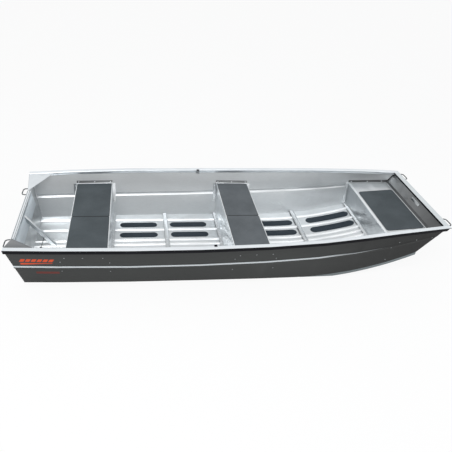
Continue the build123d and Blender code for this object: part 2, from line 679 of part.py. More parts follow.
def handle_path(tip, root, near, far, level):
    """Middle line of a handle: a leg, a bend in short straight runs, the grip, a bend and a leg."""
    inward = 1 if root > tip else -1
    outward = 1 if far > near else -1
    turns = [pi / 2 * step / BEND_STEPS for step in range(BEND_STEPS + 1)]
    stations = [tip + inward * HANDLE_CORNER * (1 - sin(turn)) for turn in turns]
    insets = [outward * HANDLE_CORNER * (1 - cos(turn)) for turn in turns]
    near_bend = [(station, near + inset) for station, inset in zip(stations, insets)]
    far_bend = [(station, far - inset) for station, inset in zip(stations, insets)]
    points = [(root, near)] + near_bend + far_bend[::-1] + [(root, far)]
    return [(at(station), wide, level) for station, wide in points]


# Carrying handles: bent rods on the transom and on the bow rail
HANDLE_TABLE = [
    ("stern_handle", STERN_HANDLE, HANDLE_ROD - HANDLE_REACH, HANDLE_ROOT),
    ("bow_handle", BOW_HANDLE, LENGTH + HANDLE_REACH - HANDLE_ROD, LENGTH + CLEARANCE),
]
for name, (offset, level), tip, root in HANDLE_TABLE:
    for side, sign in SIDES:
        near = sign * (offset - HANDLE_SPAN / 2)
        far = sign * (offset + HANDLE_SPAN / 2)
        with BuildPart() as handle:
            with BuildLine() as path:
                Polyline(handle_path(tip, root, near, far, level))
            with BuildSketch(Plane(origin=path.line @ 0, z_dir=path.line % 0)):
                RegularPolygon(HANDLE_ROD, HANDLE_SIDES)
            sweep(path=path.wire(), transition=Transition.RIGHT)
            add(envelope, mode=Mode.SUBTRACT)
        keep(handle.part, name + "_" + side)
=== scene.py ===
from math import cos, pi, radians, sin

import bmesh
import bpy
from bpy.props import FloatProperty, FloatVectorProperty, IntProperty, PointerProperty
from mathutils import Matrix, Vector
from mathutils.bvhtree import BVHTree


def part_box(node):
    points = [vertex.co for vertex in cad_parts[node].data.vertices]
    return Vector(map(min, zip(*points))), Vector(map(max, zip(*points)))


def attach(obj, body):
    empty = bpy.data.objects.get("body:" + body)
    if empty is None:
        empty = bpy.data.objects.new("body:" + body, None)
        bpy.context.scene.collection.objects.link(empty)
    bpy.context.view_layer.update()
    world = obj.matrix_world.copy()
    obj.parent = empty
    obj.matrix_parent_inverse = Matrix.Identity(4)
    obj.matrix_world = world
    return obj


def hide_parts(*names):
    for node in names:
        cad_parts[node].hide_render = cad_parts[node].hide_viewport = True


bl_info = {
    "name": "Aluminium boat dressing",
    "version": (1, 0, 0),
    "blender": (4, 5, 0),
    "location": "View3D > Sidebar > Boat",
    "description": "Metal, paint, rivets, welds and a studio for a flat-bottomed aluminium boat",
    "category": "Add Mesh",
}

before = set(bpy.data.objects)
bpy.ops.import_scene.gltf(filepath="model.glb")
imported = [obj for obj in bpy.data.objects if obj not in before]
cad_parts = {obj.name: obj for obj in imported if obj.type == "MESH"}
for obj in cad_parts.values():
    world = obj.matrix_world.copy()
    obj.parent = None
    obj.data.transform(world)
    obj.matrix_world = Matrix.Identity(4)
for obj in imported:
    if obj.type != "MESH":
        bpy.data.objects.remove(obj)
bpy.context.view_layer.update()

SIDES = (("port", 1), ("starboard", -1))
HALF_LENGTH = 2.0
# Levels, and the stations of the benches' tops, the ribs' flat tops and the bulkhead
BENCH_LEVEL = 0.341
DECK_LEVEL = 0.395
DECK_SLOPE = 0.0767
BENCH_SPANS = ((0.4545, 0.8175), (1.9295, 2.2765))
RIB_SPANS = ((1.3485, 1.3855), (2.8035, 2.8405))
BULKHEAD = 3.45
# Distances from the centre line
RIDGES = (-0.445, -0.262, -0.078, 0.0, 0.078, 0.262, 0.445)
STRIP_LINES = (-0.3535, -0.170, 0.170, 0.3535)
# Closer points are one point, and sharper edges aren't shaded over
SAME_POINT = 0.00002
SHARP_EDGE = radians(28)


def at(station):
    """X of a station, which is measured forward from the stern."""
    return station - HALF_LENGTH


class BoatColours(bpy.types.PropertyGroup):
    sheet: FloatVectorProperty(
        name="Bare sheet", description="Mill-finished aluminium of the hull and the benches",
        subtype="COLOR", default=(0.66, 0.685, 0.70), min=0, max=1)
    # Painted highlight along the ridges' crests on the bottom
    crest: FloatVectorProperty(
        name="Ridge crests", description="Sheet rubbed bright on the ridges of the bottom",
        subtype="COLOR", default=(0.93, 0.95, 0.96), min=0, max=1)
    extrusion: FloatVectorProperty(
        name="Extrusion", description="Satin aluminium of the gunwales, the bow rail and the cap",
        subtype="COLOR", default=(0.77, 0.81, 0.84), min=0, max=1)
    rail: FloatVectorProperty(
        name="Bow rail", description="Satin aluminium of the wide rail across the bow",
        subtype="COLOR", default=(0.66, 0.70, 0.72), min=0, max=1)
    panel: FloatVectorProperty(
        name="Panels", description="Folded sheet of the benches, the deck and the ribs",
        subtype="COLOR", default=(0.72, 0.75, 0.77), min=0, max=1)
    rod: FloatVectorProperty(
        name="Rod", description="Drawn aluminium of the handles",
        subtype="COLOR", default=(0.09, 0.10, 0.105), min=0, max=1)
    runner: FloatVectorProperty(
        name="Runners", description="Dull aluminium of the strips under the chines",
        subtype="COLOR", default=(0.22, 0.25, 0.26), min=0, max=1)
    dull: FloatVectorProperty(
        name="Dull metal", description="Rivets through the paint, and the rowlock sockets",
        subtype="COLOR", default=(0.36, 0.38, 0.39), min=0, max=1)
    paint: FloatVectorProperty(
        name="Side paint", description="Dark satin paint on the outside of the side panels",
        subtype="COLOR", default=(0.033, 0.035, 0.034), min=0, max=1)
    # Painted highlight on the bead's upper slope
    bead: FloatVectorProperty(
        name="Side bead", description="Brighter upper slope of the pressed bead",
        subtype="COLOR", default=(0.62, 0.66, 0.68), min=0, max=1)
    stripe: FloatVectorProperty(
        name="Stripe", description="Plain slanted bars and underline at the stern",
        subtype="COLOR", default=(0.72, 0.075, 0.012), min=0, max=1)
    dark_stripe: FloatVectorProperty(
        name="Dark stripe", description="Low stripe under the bead at the stern",
        subtype="COLOR", default=(0.14, 0.022, 0.015), min=0, max=1)
    rubber: FloatVectorProperty(
        name="Rubber", description="Rubbing strips and drain bung",
        subtype="COLOR", default=(0.006, 0.006, 0.008), min=0, max=1)
    plastic: FloatVectorProperty(
        name="Plastic", description="Rowlock bushes",
        subtype="COLOR", default=(0.010, 0.010, 0.016), min=0, max=1)
    pad: FloatVectorProperty(
        name="Pads", description="Grained foam sheet on the stern bench and the bow deck",
        subtype="COLOR", default=(0.062, 0.075, 0.083), min=0, max=1)
    light_pad: FloatVectorProperty(
        name="Light pad", description="Grained foam sheet on the mid bench",
        subtype="COLOR", default=(0.100, 0.112, 0.122), min=0, max=1)
    grip: FloatVectorProperty(
        name="Floor strips", description="Coarse non-slip strips on the bottom",
        subtype="COLOR", default=(0.030, 0.043, 0.056), min=0, max=1)
    motor_pad: FloatVectorProperty(
        name="Motor pad", description="Blue-grey pad where a motor clamps",
        subtype="COLOR", default=(0.74, 0.81, 0.86), min=0, max=1)


class BoatFasteners(bpy.types.PropertyGroup):
    rivet_radius: FloatProperty(
        name="Rivet radius", description="Radius of a rivet's domed head",
        unit="LENGTH", default=0.0045, min=0.001)
    rivet_height: FloatProperty(
        name="Rivet height", description="How far a rivet stands off its sheet",
        unit="LENGTH", default=0.0022, min=0.0005)
    rivet_segments: IntProperty(
        name="Rivet segments", description="Sides of a rivet's head", default=10, min=6)
    weld_radius: FloatProperty(
        name="Weld radius", description="Half width of a weld bead",
        unit="LENGTH", default=0.0042, min=0.001)
    weld_pitch: FloatProperty(
        name="Weld pitch", description="Distance between the ripples of a weld bead",
        unit="LENGTH", default=0.0048, min=0.001)
    seal_radius: FloatProperty(
        name="Seal radius", description="Half width of the dark seals in the bow's corners",
        unit="LENGTH", default=0.0065, min=0.001)
    edge_round: FloatProperty(
        name="Edge rounding", description="Width of the rounding on folded and cut edges",
        unit="LENGTH", default=0.0012, min=0.0)
    rod_radius: FloatProperty(
        name="Handle rod radius", description="Radius of the handles' rod",
        unit="LENGTH", default=0.005, min=0.001)


class BoatStudio(bpy.types.PropertyGroup):
    azimuth: FloatProperty(
        name="Azimuth", description="Camera's direction round the boat",
        subtype="ANGLE", default=radians(-12.75))
    elevation: FloatProperty(
        name="Elevation", description="Camera's height above the horizon",
        subtype="ANGLE", default=radians(33.6))
    target: FloatVectorProperty(
        name="Target", description="Point that the camera looks at",
        subtype="XYZ", unit="LENGTH", default=(-0.054, 0.0, 0.218))
    roll: FloatProperty(
        name="Roll", description="Camera's turn about its own line of sight",
        subtype="ANGLE", default=radians(6.5))
    distance: FloatProperty(
        name="Distance", description="From the camera to the point that it looks at",
        unit="LENGTH", default=4.90)
    lens: FloatProperty(
        name="Lens", description="Focal length on a 36 mm sensor, in millimetres", default=38.79)
    floor_half: FloatProperty(
        name="Floor", description="Half width of the floor", unit="LENGTH", default=60.0)
    sky: FloatProperty(
        name="Sky light", description="Strength of the world's light", default=0.62)
    lamp_level: FloatProperty(
        name="Lamp level", description="Factor on all the lamps", default=1.0)


class Signal:
    """An output socket of a node. Arithmetic on it adds Math nodes."""

    def __init__(self, owner, socket):
        self.owner = owner
        self.socket = socket

    def _maths(self, operation, first, second=0.0):
        return self.owner.add("ShaderNodeMath", {"operation": operation}, {0: first, 1: second})

    def __add__(self, other):
        return self._maths("ADD", self, other)

    def __radd__(self, other):
        return self._maths("ADD", other, self)

    def __sub__(self, other):
        return self._maths("SUBTRACT", self, other)

    def __rsub__(self, other):
        return self._maths("SUBTRACT", other, self)

    def __mul__(self, other):
        return self._maths("MULTIPLY", self, other)

    def __abs__(self):
        return self._maths("ABSOLUTE", self)

    def __mod__(self, other):
        return self._maths("FLOORED_MODULO", self, other)

    def most(self, other):
        return self._maths("MAXIMUM", self, other)


class NodeTree:
    """The nodes of a material or a world under construction."""

    def __init__(self, tree):
        self.tree = tree
        self.tree.nodes.clear()

    def add(self, kind, settings=None, values=None, out=0):
        """Adds one node: its settings first, then the values or links of its inputs."""
        node = self.tree.nodes.new(kind)
        for name, value in (settings or {}).items():
            setattr(node, name, value)
        for key, value in (values or {}).items():
            if isinstance(value, Signal):
                self.tree.links.new(value.socket, node.inputs[key])
            else:
                node.inputs[key].default_value = value
        return Signal(self, node.outputs[out])

    def add_output(self, shader, kind="ShaderNodeOutputMaterial"):
        output = self.tree.nodes.new(kind)
        self.tree.links.new(shader.socket, output.inputs["Surface"])


class Finish(NodeTree):
    """A procedural material under construction, with its patterns on Object coordinates."""

    def __init__(self, name):
        self.material = bpy.data.materials.new(name)
        self.material.use_nodes = True
        super().__init__(self.material.node_tree)
        self.place = self.add("ShaderNodeTexCoord", out="Object")
        split = self.add("ShaderNodeSeparateXYZ", None, {0: self.place}).socket.node
        self.x, self.y, self.z = (Signal(self, socket) for socket in split.outputs)

    def noise(self, scale, stretch=(1, 1, 1), detail=2.0, roughness=0.5):
        """Noise between 0 and 1, stretched along the axes with a small factor."""
        where = self.add("ShaderNodeMapping", None, {"Vector": self.place, "Scale": stretch})
        return self.add("ShaderNodeTexNoise", None, {
            "Vector": where, "Scale": scale, "Detail": detail, "Roughness": roughness})

    def cells(self, scale):
        """Distance to the nearest of many scattered points, for grains and specks."""
        return self.add("ShaderNodeTexVoronoi", None, {"Vector": self.place, "Scale": scale})

    def spread(self, value, low, high, first=0.0, last=1.0):
        """Maps low..high smoothly to first..last and holds it there beyond."""
        return self.add("ShaderNodeMapRange", {"interpolation_type": "SMOOTHSTEP"},
                        {0: value, 1: low, 2: high, 3: first, 4: last})

    def between(self, value, low, high, soft):
        """1 where the value lies between low and high, with soft edges."""
        return self.spread(value, low - soft, low + soft) * self.spread(value, high - soft,
                                                                        high + soft, 1.0, 0.0)

    def blend(self, share, first, second, mode="MIX"):
        """Mixes two colours."""
        values = {0: share}
        for key, colour in ((6, first), (7, second)):
            values[key] = colour if isinstance(colour, Signal) else (*colour, 1.0)
        return self.add("ShaderNodeMix", {"data_type": "RGBA", "blend_type": mode}, values, out=2)

    def shade(self, colour, light):
        """Lightens or darkens a colour by a factor that varies over the surface."""
        grey = self.add("ShaderNodeCombineColor", None, {0: light, 1: light, 2: light})
        return self.blend(1.0, colour, grey, mode="MULTIPLY")

    def bump(self, height, distance, strength=1.0, under=None):
        values = {"Height": height, "Distance": distance, "Strength": strength}
        if under is not None:
            values["Normal"] = under
        return self.add("ShaderNodeBump", None, values)

    def facing(self):
        """The true normal's three parts."""
        normal = self.add("ShaderNodeNewGeometry", out="Normal")
        split = self.add("ShaderNodeSeparateXYZ", None, {0: normal}).socket.node
        return [Signal(self, socket) for socket in split.outputs]

    def close(self, colour, roughness, metallic=0.0, normal=None, constants=None):
        """Joins the patterns to the shader and gives back the material."""
        values = {"Base Color": colour if isinstance(colour, Signal) else (*colour, 1.0),
                  "Roughness": roughness, "Metallic": metallic}
        if normal is not None:
            values["Normal"] = normal
        values.update(constants or {})
        shader = self.add("ShaderNodeBsdfPrincipled", None, values)
        self.add_output(shader)
        return self.material


def mill_sheet(name, colour, along=(3, 90, 90), waves=0.0006, smudges=0.05):
    """Rolled aluminium sheet: fine grain along the rolling, smudges, and slight waves."""
    sheet = Finish(name)
    grain = sheet.noise(9.0, along, detail=3.0)
    cloud = sheet.noise(2.3, (1, 2.2, 2.2), detail=4.0, roughness=0.6)
    speck = sheet.cells(210.0)
    light = sheet.spread(cloud, 0.3, 0.7, 1.0 - smudges, 1.0 + smudges * 0.6)
    light = light * sheet.spread(grain, 0.3, 0.7, 0.95, 1.04)
    rough = sheet.spread(cloud, 0.25, 0.75, 0.42, 0.26) + sheet.spread(grain, 0.3, 0.7, 0.0, 0.06)
    rough = rough + sheet.spread(speck, 0.02, 0.12, 0.05, 0.0)
    slow = sheet.noise(3.1, (1, 1.4, 1.4), detail=1.0)
    normal = sheet.bump(slow, waves * 14)
    normal = sheet.bump(grain, 0.00004, under=normal)
    return sheet, sheet.shade(colour, light), rough, normal


def plain_sheet(name, colour, painted_light_and_shade=None, **how):
    """Sheet by itself, with painted light and shade that may follow its place on the boat."""
    sheet, tint, rough, normal = mill_sheet(name, colour, **how)
    if painted_light_and_shade:
        tint = sheet.shade(tint, painted_light_and_shade(sheet))
    return sheet.close(tint, rough, 1.0, normal)


def bench_painted_shade(sheet):
    """Painted shade: the benches' ends are darkened as in the gunwales' shade, and the feet and tabs
    are darker than the tops.
    """
    station = sheet.x + HALF_LENGTH
    stern, mid = (sheet.between(station, aft, fore, 0.0005) for aft, fore in BENCH_SPANS)
    ends = sheet.spread(sheet.z, BENCH_LEVEL, BENCH_LEVEL + 0.004, 1.0, 0.16)
    return ends * (0.70 + stern.most(mid) * 0.30)


def rib_painted_shade(sheet):
    """Painted shade: the ribs' flat tops are darkened, and their edges on either side darker still."""
    station = sheet.x + HALF_LENGTH
    aft_rib, fore_rib = (sheet.between(station, aft, fore, 0.0008) for aft, fore in RIB_SPANS)
    return 0.48 + aft_rib.most(fore_rib) * 0.24


def deck_painted_light(sheet):
    """Painted light and shade: the deck's ends, tabs and bulkhead are darkened as in shade, and its
    fold and foot are lightened as catching the light.
    """
    station = sheet.x + HALF_LENGTH
    above = sheet.z - DECK_LEVEL - (station - BULKHEAD) * DECK_SLOPE
    ends = sheet.spread(above, 0.001, 0.005, 1.0, 0.16)
    fold = sheet.spread(station, BULKHEAD + 0.012, BULKHEAD + 0.018, 1.35, 1.0)
    top = sheet.spread(above, -0.012, -0.004, 0.60, 0.80) * fold
    foot = sheet.spread(sheet.z, 0.120, 0.135, 1.7, 1.0)
    return ends * top * foot


def gusset_painted_shade(sheet):
    """Painted shade: the starboard gusset is darker than the port one."""
    return sheet.spread(sheet.y, -0.1, 0.1, 0.25, 0.92)


def plate_painted_shade(sheet):
    """Painted shade: the bow plate is darkened as under the rail, and less so towards port."""
    return sheet.spread(sheet.y, -0.5, 0.0, 0.16, 0.26) + sheet.spread(sheet.y, 0.05, 0.5, 0.0, 0.30)


def bottom_sheet(name, colours):
    """The bottom: a painted highlight along the ridges' crests, and painted shade in their roots."""
    sheet, tint, rough, normal = mill_sheet(name, colours.sheet, waves=0.0008)
    across = abs(sheet.y)
    crest = root = None
    for offset in (ridge for ridge in RIDGES if ridge >= 0):
        reach = abs(across - offset)
        top = sheet.spread(reach, 0.008, 0.015, 1.0, 0.0)
        foot = sheet.between(reach, 0.017, 0.021, 0.002)
        crest = top if crest is None else crest.most(top)
        root = foot if root is None else root.most(foot)
    # Painted highlight on the crests, patchy along them; the crests are also a little smoother
    painted_crest_highlight = crest * sheet.spread(sheet.noise(14.0, (0.4, 2, 1), detail=4.0), 0.25, 0.6, 0.55, 1.0)
    tint = sheet.blend(painted_crest_highlight, tint, colours.crest)
    # Painted shade in the ridges' roots
    tint = sheet.blend(root * 0.25, tint, (0.36, 0.38, 0.40))
    return sheet.close(tint, rough - crest * 0.05, 1.0, normal)


def satin_extrusion(name, colour, lip=None):
    """Drawn aluminium with faint lines along its length, and a dark outer lip where asked for."""
    bar = Finish(name)
    lines = bar.noise(16.0, (0.6, 30, 30), detail=3.0)
    cloud = bar.noise(3.0, detail=3.0)
    light = bar.spread(lines, 0.3, 0.7, 0.95, 1.03) * bar.spread(cloud, 0.3, 0.7, 0.97, 1.02)
    rough = bar.spread(cloud, 0.3, 0.7, 0.46, 0.38) + bar.spread(lines, 0.3, 0.7, 0.0, 0.05)
    tint = bar.shade(colour, light)
    metallic = 1.0
    if lip:
        _, normal_y, _ = bar.facing()
        outside = bar.spread(normal_y * bar.y, 0.30, 0.42)
        tint = bar.blend(outside, tint, lip)
        metallic = 1.0 - outside
    return bar.close(tint, rough, metallic, bar.bump(lines, 0.00006), {"Specular IOR Level": 0.12})


def stern_marks(side, station):
    """Where the slanted bars and their tapering underline lie at the stern, and the low stripe."""
    bars_low, bars_high = 0.300, 0.336
    lean = 0.55
    pitch = 0.046
    bar_half = 0.0165
    slant = station - (side.z - (bars_low + bars_high) / 2) * lean
    bars = side.spread(abs((slant - 0.105) % pitch - pitch / 2), bar_half, bar_half + 0.0013, 1.0, 0.0)
    bars = bars * side.between(slant, 0.106, 0.381, 0.0008)
    bars = bars * side.between(side.z, bars_low, bars_high, 0.0008)
    low_edge = side.spread(station, 0.105, 0.360, 0.262, 0.277)
    line = side.spread(side.z - low_edge, -0.001, 0.001)
    line = line * side.between(side.z, 0.25, 0.283, 0.0008)
    line = line * side.between(station, 0.108, 0.364, 0.001)
    stripe = side.between(station, 0.215, 0.405, 0.001) * side.between(side.z, 0.134, 0.163, 0.001)
    return bars.most(line), stripe


def side_paint(name, colours):
    """Dark satin paint outside, bare sheet inside, with plain bars and stripes at the stern."""
    side, bare, bare_rough, bare_normal = mill_sheet(name, colours.sheet, waves=0.0003)
    station = side.x + HALF_LENGTH
    # Painted shade on the bare inside: darker high up and towards the stern
    inside = side.spread(side.z, 0.20, 0.36, 1.04, 0.80) * side.spread(station, 1.2, 2.6, 0.93, 1.13)
    bare = side.shade(bare, inside)
    _, normal_y, normal_z = side.facing()
    outside = side.spread(normal_y * side.y, -0.02, 0.02)
    mottle = side.noise(60.0, detail=3.0)
    cloud = side.noise(1.7, (1, 2, 2), detail=3.0)
    light = side.spread(mottle, 0.3, 0.7, 0.92, 1.08) * side.spread(cloud, 0.3, 0.7, 0.93, 1.07)
    # Painted shade: the paint darkens towards the bow
    paint = side.shade(colours.paint, light * side.spread(station, 2.4, 4.0, 1.2, 0.25))
    # Painted highlight on the bead's upper slope, weaker towards the bow
    glint = side.spread(normal_z, -0.05, 0.30) * side.spread(station, 2.4, 3.8, 1.0, 0.5)
    paint = side.blend(glint, paint, colours.bead)
    marks, low_stripe = stern_marks(side, station)
    paint = side.blend(marks, paint, colours.stripe)
    paint = side.blend(low_stripe, paint, colours.dark_stripe)
    rough = side.spread(mottle, 0.3, 0.7, 0.40, 0.50)
    peel = side.bump(mottle, 0.00008)
    tint = side.blend(outside, bare, paint)
    rough = bare_rough * (1.0 - outside) + rough * outside
    skin = side.add("ShaderNodeMix", {"data_type": "VECTOR"},
                    {0: outside, 4: bare_normal, 5: peel}, out=1)
    return side.close(tint, rough, 1.0 - outside, skin, {"Specular IOR Level": 0.25})


def soft_black(name, colour):
    """Matt rubber or plastic with a fine grain."""
    black = Finish(name)
    fine = black.noise(420.0, detail=2.0)
    dust = black.noise(7.0, (1, 3, 3), detail=4.0)
    tint = black.shade(colour, black.spread(dust, 0.35, 0.75, 0.85, 1.6))
    rough = black.spread(fine, 0.3, 0.7, 0.50, 0.66)
    return black.close(tint, rough, 0.0, black.bump(fine, 0.00012), {"Specular IOR Level": 0.12})


def foam_sheet(name, colour, seam=False):
    """Closed-cell sheet: leathery grain, faint lighter patches, and painted shade along the seam
    between halves.
    """
    foam = Finish(name)
    grain = foam.cells(330.0)
    fine = foam.noise(520.0, detail=2.0)
    cloud = foam.noise(3.4, detail=4.0, roughness=0.6)
    light = foam.spread(cloud, 0.3, 0.75, 0.90, 1.14) * foam.spread(grain, 0.1, 0.6, 0.84, 1.12)
    if seam:
        # Painted shade in the gap between the two halves
        light = light * foam.spread(abs(foam.y), 0.004, 0.007, 0.25, 1.0)
    rough = foam.spread(cloud, 0.3, 0.7, 0.82, 0.70)
    height = grain * 0.7 + fine * 0.3
    return foam.close(foam.shade(colour, light), rough, 0.0, foam.bump(height, 0.0006, 0.6),
                      {"Specular IOR Level": 0.35})


def grit_strip(name, colour):
    """Coarse grit bound to a dark tape."""
    grit = Finish(name)
    grains = grit.cells(420.0)
    fine = grit.noise(700.0, detail=2.0)
    light = grit.spread(grains, 0.1, 0.7, 1.3, 0.7) * grit.spread(fine, 0.3, 0.7, 0.85, 1.15)
    rough = grit.spread(grains, 0.1, 0.6, 0.6, 0.9)
    return grit.close(grit.shade(colour, light), rough, 0.0, grit.bump(grains, 0.0008, 0.7),
                      {"Specular IOR Level": 0.3})


def lined_cap(name, colour):
    """The transom's cap: satin, with two grooves along its top darkened by painted shade."""
    cap = Finish(name)
    cloud = cap.noise(3.0, detail=3.0)
    station = cap.x + HALF_LENGTH
    grooves = cap.between(station, 0.0155, 0.0195, 0.0008).most(
        cap.between(station, 0.0335, 0.0375, 0.0008))
    grooves = grooves * cap.spread(cap.z, 0.387, 0.388)
    # Painted shade in the grooves
    light = cap.spread(cloud, 0.3, 0.7, 0.97, 1.02) * (1.0 - grooves * 0.85)
    return cap.close(cap.shade(colour, light), cap.spread(cloud, 0.3, 0.7, 0.36, 0.28), 1.0,
                     cap.bump(grooves, 0.0008))


def pad_paint(name, colour):
    """Satin blue-grey coat on the motor pad, with clamp scuffs."""
    coat = Finish(name)
    cloud = coat.noise(5.0, detail=4.0)
    scuff = coat.noise(60.0, (1, 0.25, 1), detail=5.0, roughness=0.7)
    light = coat.spread(cloud, 0.3, 0.7, 0.94, 1.05) * coat.spread(scuff, 0.62, 0.72, 1.0, 0.86)
    rough = coat.spread(cloud, 0.3, 0.7, 0.36, 0.46)
    return coat.close(coat.shade(colour, light), rough, 0.0, coat.bump(scuff, 0.0001))


def weld_metal(name, colour):
    """Weld beads: bright metal with small cloudy patches."""
    weld = Finish(name)
    cloud = weld.noise(90.0, detail=2.0)
    light = weld.spread(cloud, 0.3, 0.7, 0.78, 1.05)
    return weld.close(weld.shade(colour, light), weld.spread(cloud, 0.3, 0.7, 0.45, 0.28), 1.0,
                      weld.bump(cloud, 0.0003))


class Skin:
    """The surface of a CAD node, for setting fasteners and welds on it."""

    def __init__(self, node):
        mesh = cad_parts[node].data
        self.node = node
        self.tree = BVHTree.FromPolygons([vertex.co for vertex in mesh.vertices],
                                         [tuple(face.vertices) for face in mesh.polygons])

    def meet(self, start, heading):
        """Where a line from start first meets the node, and the normal that faces the start."""
        heading = Vector(heading)
        place, normal, _, _ = self.tree.ray_cast(Vector(start), heading)
        if place is None:
            raise RuntimeError(f"no surface of {self.node} ahead of {tuple(start)}")
        return place, (normal if normal.dot(heading) < 0 else -normal)


def facing_matrix(place, normal):
    """Turns +Z to a normal and moves to a place."""
    return Matrix.Translation(place) @ normal.to_track_quat("Z", "Y").to_matrix().to_4x4()


def vertices_of(grown):
    """The vertices among the geometry that an extrusion gives."""
    return [item for item in grown if isinstance(item, bmesh.types.BMVert)]


def finish_mesh(name, bm, material, replaced=(), smooth=True):
    """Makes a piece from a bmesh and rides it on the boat."""
    bmesh.ops.recalc_face_normals(bm, faces=bm.faces)
    mesh = bpy.data.meshes.new(name)
    bm.to_mesh(mesh)
    bm.free()
    if smooth:
        mesh.shade_smooth()
    mesh.materials.append(material)
    piece = bpy.data.objects.new(name, mesh)
    bpy.context.scene.collection.objects.link(piece)
    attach(piece, "root")
    if replaced:
        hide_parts(*replaced)
    return piece


def dress(nodes, material, rounding=0.0):
    """Gives CAD nodes a material, joined facets, and rounded edges or else even shading."""
    for name in nodes:
        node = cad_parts[name]
        node.data.materials.clear()
        node.data.materials.append(material)
        for face in node.data.polygons:
            face.material_index = 0
        node.data.shade_smooth()
        weld = node.modifiers.new("Joined facets", "WELD")
        weld.merge_threshold = SAME_POINT
        if rounding:
            bevel = node.modifiers.new("Rounded edges", "BEVEL")
            bevel.width = rounding
            bevel.segments = 2
            bevel.limit_method = "ANGLE"
            bevel.angle_limit = SHARP_EDGE
            bevel.harden_normals = True
        else:
            split = node.modifiers.new("Crisp edges", "EDGE_SPLIT")
            split.split_angle = SHARP_EDGE
            even = node.modifiers.new("Even shading", "WEIGHTED_NORMAL")
            even.mode = "FACE_AREA"
            even.weight = 50


def both(name):
    return [name + "_" + side for side, _ in SIDES]


class Fasteners:
    """One mesh of rivets that grows row by row."""

    def __init__(self, sizes):
        self.bm = bmesh.new()
        self.sizes = sizes

    def rivet(self, place, normal, factor=1.0):
        radius = self.sizes.rivet_radius * factor
        shape = Matrix.Diagonal((radius, radius, self.sizes.rivet_height * factor, 1.0))
        bmesh.ops.create_uvsphere(
            self.bm, u_segments=self.sizes.rivet_segments, v_segments=6, radius=1.0,
            matrix=facing_matrix(place, normal) @ shape)
        washer = Matrix.Diagonal((radius * 1.2, radius * 1.2, 0.0009, 1.0))
        bmesh.ops.create_uvsphere(
            self.bm, u_segments=self.sizes.rivet_segments, v_segments=4, radius=1.0,
            matrix=facing_matrix(place, normal) @ washer)

    def through(self, skin, start, heading, factor=1.0):
        self.rivet(*skin.meet(start, heading), factor)


# Rivets through each side panel into what it carries: stations and heights
SIDE_RIVETS = (
    (0.465, 0.354), (0.614, 0.355), (0.778, 0.356), (0.428, 0.301), (0.832, 0.290),
    (0.428, 0.170), (0.832, 0.166), (1.952, 0.362), (2.100, 0.366), (2.250, 0.368),
    (1.912, 0.313), (2.292, 0.308), (1.912, 0.158), (2.292, 0.165), (3.500, 0.412),
    (3.679, 0.426), (3.850, 0.434), (3.432, 0.350), (3.432, 0.185),
)
# Rivets on the inside: node, stations and heights, all on both sides
FLANGE_RIVETS = {
    "stern_bench": ((0.475, 0.355), (0.636, 0.355), (0.797, 0.355), (0.440, 0.315),
                    (0.440, 0.172), (0.832, 0.315), (0.832, 0.172)),
    "mid_bench": ((1.950, 0.355), (2.103, 0.355), (2.256, 0.355), (1.915, 0.315),
                  (1.915, 0.172), (2.291, 0.315), (2.291, 0.172)),
    "bow_deck": ((3.475, 0.411), (3.660, 0.425), (3.825, 0.438), (3.421, 0.362), (3.421, 0.200)),
}
# Rivets down through feet and ribs onto the ridges: node and station
FOOT_RIVETS = (
    ("stern_bench", 0.441), ("stern_bench", 0.831), ("mid_bench", 1.916), ("mid_bench", 2.290),
    ("floor_rib_aft", 1.362), ("floor_rib_fore", 2.817), ("bow_deck", 3.418),
)
# Inner corners of the hull: stations and heights up each corner
STERN_CORNER = ((0.088, 0.045), (0.017, 0.430))
BOW_CORNER = ((3.885, 0.440), (3.955, 0.532))


def weld_run(bm, points, normal, radius, pitch):
    """Overlapping ripples along straight runs between points."""
    for first, last in zip(points, points[1:]):
        first, last = Vector(first), Vector(last)
        along = (last - first).normalized()
        count = max(2, round((last - first).length / pitch))
        up = (normal - along * normal.dot(along)).normalized()
        basis = Matrix((along, up.cross(along), up)).transposed().to_4x4()
        shape = Matrix.Diagonal((pitch * 0.95, radius, radius * 0.55, 1.0))
        for step in range(count + 1):
            place = first.lerp(last, step / count)
            bmesh.ops.create_uvsphere(bm, u_segments=6, v_segments=4, radius=1.0,
                                      matrix=Matrix.Translation(place) @ basis @ shape)


class Rod:
    """A round bar that grows from a ring of edges by straight runs and bends."""

    def __init__(self, bm, place, heading, radius, segments=16):
        self.bm = bm
        self.heading = Vector(heading).normalized()
        self.place = Vector(place)
        made = bmesh.ops.create_circle(bm, cap_ends=True, segments=segments, radius=radius,
                                       matrix=facing_matrix(self.place, self.heading))
        self.ring = list({edge for vertex in made["verts"] for edge in vertex.link_edges})

    def run(self, length):
        """Carries on straight."""
        grown = bmesh.ops.extrude_edge_only(self.bm, edges=self.ring)["geom"]
        fresh = vertices_of(grown)
        bmesh.ops.translate(self.bm, verts=fresh, vec=self.heading * length)
        self.ring = [item for item in grown if isinstance(item, bmesh.types.BMEdge)
                     and all(vertex in fresh for vertex in item.verts)]
        self.place += self.heading * length

    def bend(self, centre, axis, angle, steps=8):
        """Turns about an axis through a centre."""
        centre = Vector(centre)
        axis = Vector(axis)
        turned = bmesh.ops.spin(self.bm, geom=self.ring, cent=centre, axis=axis, dvec=(0, 0, 0),
                                angle=angle, steps=steps, use_merge=False)["geom_last"]
        self.ring = [item for item in turned if isinstance(item, bmesh.types.BMEdge)]
        turn = Matrix.Rotation(angle, 3, axis)
        self.heading = turn @ self.heading
        self.place = centre + turn @ (self.place - centre)

    def end(self):
        bmesh.ops.edgeloop_fill(self.bm, edges=self.ring)


